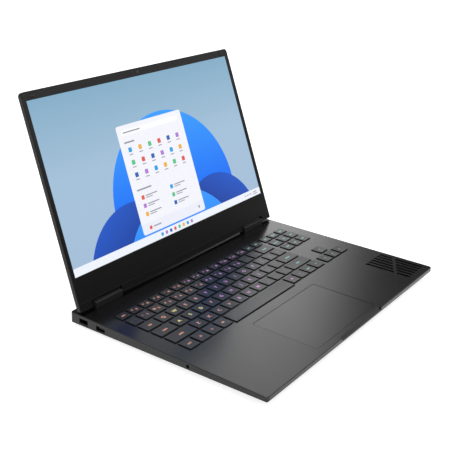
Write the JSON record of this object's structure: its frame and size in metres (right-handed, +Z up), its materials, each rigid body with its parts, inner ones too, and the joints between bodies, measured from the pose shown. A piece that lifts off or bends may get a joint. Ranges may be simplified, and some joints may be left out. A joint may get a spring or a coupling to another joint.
{
  "type": "laptop computer",
  "caption": "Dark clamshell laptop computer, open, with a wide display on a two-knuckle hinge, a full keyboard with a key cluster, an off-centre touchpad and a slotted palm-rest vent.",
  "frame": {"origin": "on the supporting surface, under the middle of the open laptop's box", "axes": "+X to the user's right, +Y from the user towards the hinge, +Z up"},
  "size_m": [0.369, 0.3376, 0.2523],
  "materials": {
    "deck_metal": "dark charcoal anodised finish, matte with a faint metallic grain",
    "cover_plastic": "dark grey fine-textured plastic",
    "lid_metal": "dark charcoal matte metal",
    "bezel_plastic": "black fine-textured plastic",
    "hinge_plastic": "black satin plastic with bevelled edges",
    "keycap_plastic": "charcoal keycaps, finely grained, with lit legends",
    "touchpad_surface": "frosted glass, the same charcoal as the deck",
    "trim_plastic": "black moulded plastic",
    "foot_rubber": "matte black rubber",
    "mesh_metal": "black punched sheet",
    "screw_steel": "black-oxide steel",
    "plate_steel": "zinc-plated steel",
    "pin_steel": "ground steel",
    "socket_steel": "nickel-plated steel",
    "membrane_film": "polyester film",
    "dome_rubber": "milky silicone",
    "scissor_plastic": "white moulded plastic",
    "board_laminate": "dark green glass-fibre laminate",
    "chip_plastic": "black moulded packages",
    "pipe_copper": "flattened copper pipe",
    "fin_aluminium": "thin folded fins",
    "fan_plastic": "black moulded housing",
    "impeller_plastic": "black moulded blades",
    "battery_plastic": "black wrapped cells",
    "speaker_plastic": "black moulded boxes",
    "ribbon_film": "amber polyimide ribbon",
    "screen_surface": "lit display with a plain abstract picture",
    "backlight_film": "white reflector in a thin frame",
    "camera_plastic": "black, glossy lens",
    "antenna_foil": "thin foil"
  },
  "bodies": {
    "base": {"top_cover": "deck_metal", "bottom_cover": "cover_plastic", "bottom_screws": "screw_steel", "rubber_feet": "foot_rubber", "palm_grille_mesh": "mesh_metal", "keyboard_backplate": "plate_steel", "keyboard_membrane": "membrane_film", "key_domes": "dome_rubber", "key_scissors": "scissor_plastic", "touchpad_frame": "plate_steel", "mainboard": "board_laminate", "processor_chips": "chip_plastic", "heat_pipes": "pipe_copper", "cooling_fins": "fin_aluminium", "left_fan_housing": "fan_plastic", "right_fan_housing": "fan_plastic", "battery_pack": "battery_plastic", "storage_drive": "board_laminate", "memory_modules": "board_laminate", "wireless_card": "board_laminate", "speaker_boxes": "speaker_plastic", "base_cables": "ribbon_film", "network_socket": "socket_steel", "usb_sockets": "socket_steel", "video_socket": "socket_steel", "audio_socket": "trim_plastic", "power_inlet": "trim_plastic", "hinge_base_brackets": "plate_steel", "hinge_covers": "hinge_plastic"},
    "lid": {"lid_back_cover": "lid_metal", "display_bezel": "bezel_plastic", "display_glass": "screen_surface", "backlight_unit": "backlight_film", "display_driver_board": "board_laminate", "webcam_module": "camera_plastic", "wireless_antennas": "antenna_foil", "lid_cable": "ribbon_film", "lid_bumpers": "foot_rubber", "hinge_pins": "pin_steel", "hinge_lid_brackets": "plate_steel"},
    "touchpad": {"touchpad_plate": "touchpad_surface"},
    "left_fan": {"left_impeller": "impeller_plastic"},
    "right_fan": {"right_impeller": "impeller_plastic"},
    "network_lip": {"network_jaw": "trim_plastic"},
    "escape_key_body": {"escape_key": "keycap_plastic"},
    "function_row_keys_body": {"function_row_keys": "keycap_plastic"},
    "number_row_keys_body": {"number_row_keys": "keycap_plastic"},
    "backspace_key_body": {"backspace_key": "keycap_plastic"},
    "tab_key_body": {"tab_key": "keycap_plastic"},
    "top_letter_keys_body": {"top_letter_keys": "keycap_plastic"},
    "caps_lock_key_body": {"caps_lock_key": "keycap_plastic"},
    "home_letter_keys_body": {"home_letter_keys": "keycap_plastic"},
    "enter_key_body": {"enter_key": "keycap_plastic"},
    "left_shift_key_body": {"left_shift_key": "keycap_plastic"},
    "bottom_letter_keys_body": {"bottom_letter_keys": "keycap_plastic"},
    "right_shift_key_body": {"right_shift_key": "keycap_plastic"},
    "space_bar_body": {"space_bar": "keycap_plastic"},
    "bottom_row_keys_body": {"bottom_row_keys": "keycap_plastic"},
    "navigation_keys_body": {"navigation_keys": "keycap_plastic"},
    "arrow_keys_body": {"arrow_keys": "keycap_plastic"}
  },
  "joints": [
    {"name": "lid_hinge", "type": "hinge", "parent": "base", "child": "lid", "pos_m": [0, 0.0799, 0.0194], "axis": [1, 0, 0], "range_deg": [-30, 110]},
    {"name": "touchpad_click", "type": "hinge", "parent": "base", "child": "touchpad", "pos_m": [0, -0.0777, 0.01405], "axis": [1, 0, 0], "range_deg": [0, 0.35], "stiffness_Nm_per_rad": 8, "springref_deg": -0.34},
    {"name": "left_fan_spin", "type": "hinge", "parent": "base", "child": "left_fan", "pos_m": [-0.08, 0.0312, 0.0074], "axis": [0, 0, 1], "continuous": true},
    {"name": "right_fan_spin", "type": "hinge", "parent": "base", "child": "right_fan", "pos_m": [0.08, 0.0312, 0.0074], "axis": [0, 0, 1], "continuous": true},
    {"name": "network_lip_tip", "type": "hinge", "parent": "base", "child": "network_lip", "pos_m": [-0.1839, 0.0712, 0.0053], "axis": [0, -1, 0], "range_deg": [0, 25], "stiffness_Nm_per_rad": 0.004, "springref_deg": -11.46},
    {"name": "escape_key_press", "type": "slide", "parent": "base", "child": "escape_key_body", "axis": [0, 0, -1], "range_m": [0, 0.0015], "stiffness_N_per_m": 200, "springref_m": -0.0012},
    {"name": "function_row_keys_press", "type": "slide", "parent": "base", "child": "function_row_keys_body", "axis": [0, 0, -1], "range_m": [0, 0.0015], "stiffness_N_per_m": 2800, "springref_m": -0.0012},
    {"name": "number_row_keys_press", "type": "slide", "parent": "base", "child": "number_row_keys_body", "axis": [0, 0, -1], "range_m": [0, 0.0015], "stiffness_N_per_m": 2600, "springref_m": -0.0012},
    {"name": "backspace_key_press", "type": "slide", "parent": "base", "child": "backspace_key_body", "axis": [0, 0, -1], "range_m": [0, 0.0015], "stiffness_N_per_m": 200, "springref_m": -0.0012},
    {"name": "tab_key_press", "type": "slide", "parent": "base", "child": "tab_key_body", "axis": [0, 0, -1], "range_m": [0, 0.0015], "stiffness_N_per_m": 200, "springref_m": -0.0012},
    {"name": "top_letter_keys_press", "type": "slide", "parent": "base", "child": "top_letter_keys_body", "axis": [0, 0, -1], "range_m": [0, 0.0015], "stiffness_N_per_m": 2600, "springref_m": -0.0012},
    {"name": "caps_lock_key_press", "type": "slide", "parent": "base", "child": "caps_lock_key_body", "axis": [0, 0, -1], "range_m": [0, 0.0015], "stiffness_N_per_m": 200, "springref_m": -0.0012},
    {"name": "home_letter_keys_press", "type": "slide", "parent": "base", "child": "home_letter_keys_body", "axis": [0, 0, -1], "range_m": [0, 0.0015], "stiffness_N_per_m": 2200, "springref_m": -0.0012},
    {"name": "enter_key_press", "type": "slide", "parent": "base", "child": "enter_key_body", "axis": [0, 0, -1], "range_m": [0, 0.0015], "stiffness_N_per_m": 200, "springref_m": -0.0012},
    {"name": "left_shift_key_press", "type": "slide", "parent": "base", "child": "left_shift_key_body", "axis": [0, 0, -1], "range_m": [0, 0.0015], "stiffness_N_per_m": 200, "springref_m": -0.0012},
    {"name": "bottom_letter_keys_press", "type": "slide", "parent": "base", "child": "bottom_letter_keys_body", "axis": [0, 0, -1], "range_m": [0, 0.0015], "stiffness_N_per_m": 2000, "springref_m": -0.0012},
    {"name": "right_shift_key_press", "type": "slide", "parent": "base", "child": "right_shift_key_body", "axis": [0, 0, -1], "range_m": [0, 0.0015], "stiffness_N_per_m": 200, "springref_m": -0.0012},
    {"name": "space_bar_press", "type": "slide", "parent": "base", "child": "space_bar_body", "axis": [0, 0, -1], "range_m": [0, 0.0015], "stiffness_N_per_m": 200, "springref_m": -0.0012},
    {"name": "bottom_row_keys_press", "type": "slide", "parent": "base", "child": "bottom_row_keys_body", "axis": [0, 0, -1], "range_m": [0, 0.0015], "stiffness_N_per_m": 1600, "springref_m": -0.0012},
    {"name": "navigation_keys_press", "type": "slide", "parent": "base", "child": "navigation_keys_body", "axis": [0, 0, -1], "range_m": [0, 0.0015], "stiffness_N_per_m": 1800, "springref_m": -0.0012},
    {"name": "arrow_keys_press", "type": "slide", "parent": "base", "child": "arrow_keys_body", "axis": [0, 0, -1], "range_m": [0, 0.0015], "stiffness_N_per_m": 800, "springref_m": -0.0012}
  ]
}
